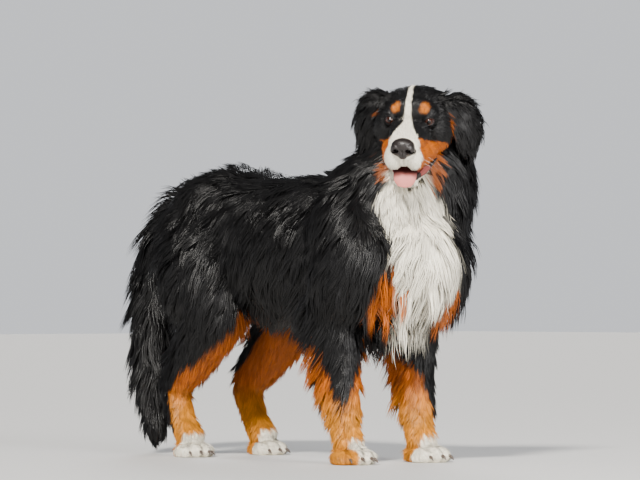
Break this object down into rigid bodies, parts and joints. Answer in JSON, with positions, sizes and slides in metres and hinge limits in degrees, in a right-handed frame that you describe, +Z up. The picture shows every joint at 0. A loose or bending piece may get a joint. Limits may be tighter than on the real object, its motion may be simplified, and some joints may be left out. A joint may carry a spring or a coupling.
{
  "type": "bernese mountain dog",
  "caption": "Life-size still model of a long-coated mountain dog, standing square with its head turned to its right and its mouth open.",
  "frame": {"origin": "on the floor under the middle of the model's box", "axes": "+Y towards the tail, so the dog faces -Y; +X towards its left side; +Z up"},
  "size_m": [0.4064, 1.1154, 0.8409],
  "materials": {
    "black_coat": "glossy black long fur",
    "rust_coat": "rust-brown fur",
    "white_coat": "creamy white fur",
    "eye": "wet brown eye",
    "nose_leather": "moist pebbled skin",
    "tongue": "moist pink skin",
    "claw": "dark horn"
  },
  "bodies": {
    "root": {"head": "black_coat", "jaw": "black_coat", "tongue": "tongue", "nose": "nose_leather", "neck": "black_coat", "torso": "black_coat", "tail": "black_coat", "eye_left": "eye", "ear_left": "black_coat", "shoulder_left": "black_coat", "foreleg_left": "rust_coat", "forepaw_left": "white_coat", "thigh_left": "black_coat", "shank_left": "rust_coat", "hock_left": "rust_coat", "hindpaw_left": "white_coat", "foreclaw_left_1": "claw", "foreclaw_left_2": "claw", "foreclaw_left_3": "claw", "foreclaw_left_4": "claw", "hindclaw_left_1": "claw", "hindclaw_left_2": "claw", "hindclaw_left_3": "claw", "hindclaw_left_4": "claw", "eye_right": "eye", "ear_right": "black_coat", "shoulder_right": "black_coat", "foreleg_right": "rust_coat", "forepaw_right": "white_coat", "thigh_right": "black_coat", "shank_right": "rust_coat", "hock_right": "rust_coat", "hindpaw_right": "white_coat", "foreclaw_right_1": "claw", "foreclaw_right_2": "claw", "foreclaw_right_3": "claw", "foreclaw_right_4": "claw", "hindclaw_right_1": "claw", "hindclaw_right_2": "claw", "hindclaw_right_3": "claw", "hindclaw_right_4": "claw"}
  },
  "joints": []
}
